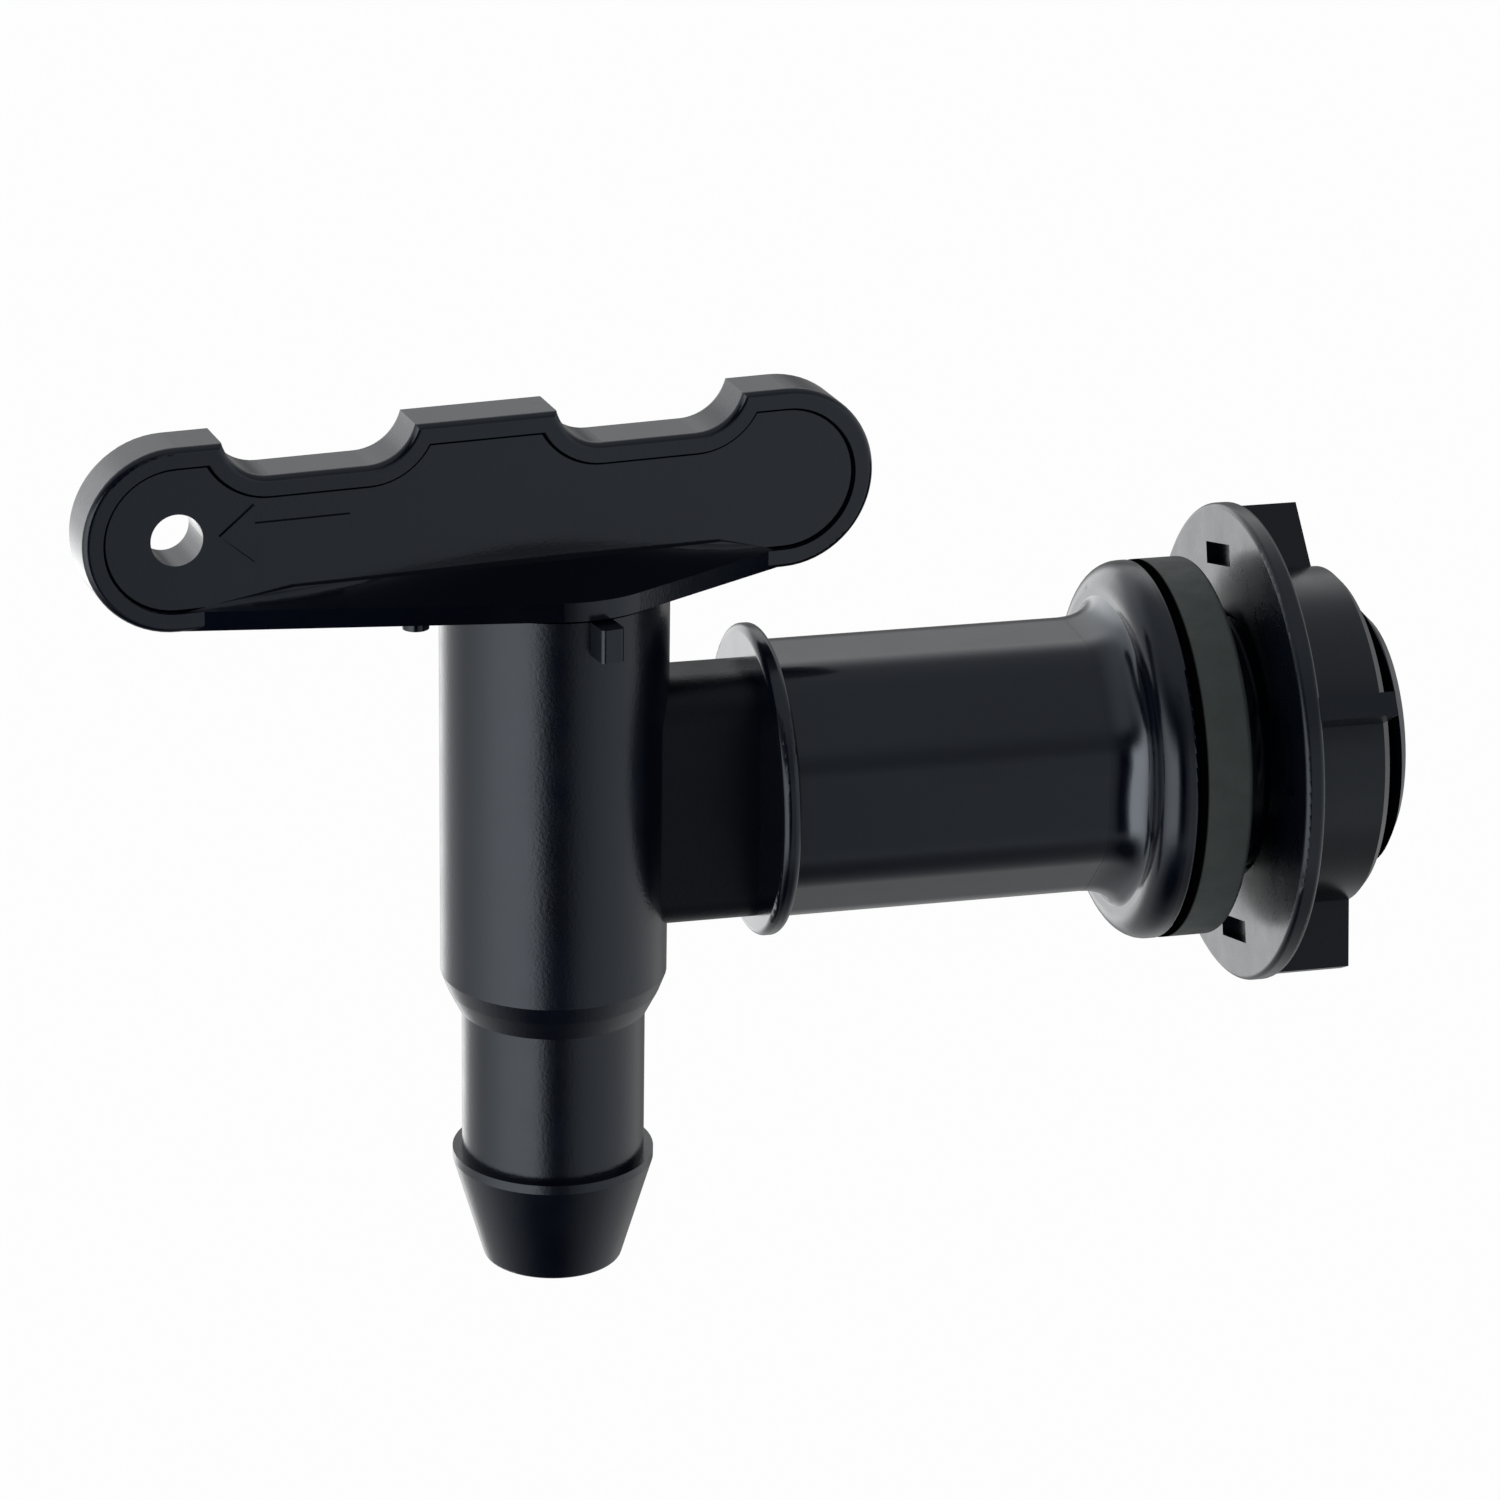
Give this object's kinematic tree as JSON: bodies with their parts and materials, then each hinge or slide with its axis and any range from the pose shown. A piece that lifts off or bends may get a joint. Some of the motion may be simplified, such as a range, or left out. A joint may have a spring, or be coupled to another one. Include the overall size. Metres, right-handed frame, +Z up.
{
  "type": "water butt tap",
  "caption": "Black plastic lever tap for a rainwater tank, with a threaded inlet, rubber washer and back nut on one side and a barbed hose tail below.",
  "frame": {"origin": "middle of the washer's tank-side face, on the axis of the threaded inlet", "axes": "+X along the inlet into the tank, +Z up along the barrel, -Y the side seen in the picture"},
  "size_m": [0.1242, 0.0456, 0.0845],
  "materials": {
    "body_plastic": "satin",
    "lever_plastic": "satin",
    "nut_plastic": "satin",
    "washer_rubber": "matt",
    "seal_rubber": "matt"
  },
  "bodies": {
    "tap": {"tap_body": "body_plastic", "washer": "washer_rubber"},
    "handle": {"lever": "lever_plastic", "upper_seal": "seal_rubber", "lower_seal": "seal_rubber"},
    "nut": {"back_nut": "nut_plastic"}
  },
  "joints": [
    {"name": "lever_turn", "type": "hinge", "parent": "tap", "child": "handle", "pos_m": [-0.0622, 0, 0], "axis": [0, 0, 1], "range_deg": [-6.13, 83.87]},
    {"name": "nut_turn", "type": "hinge", "parent": "tap", "child": "nut", "pos_m": [0, 0, 0], "axis": [1, 0, 0], "continuous": true}
  ]
}
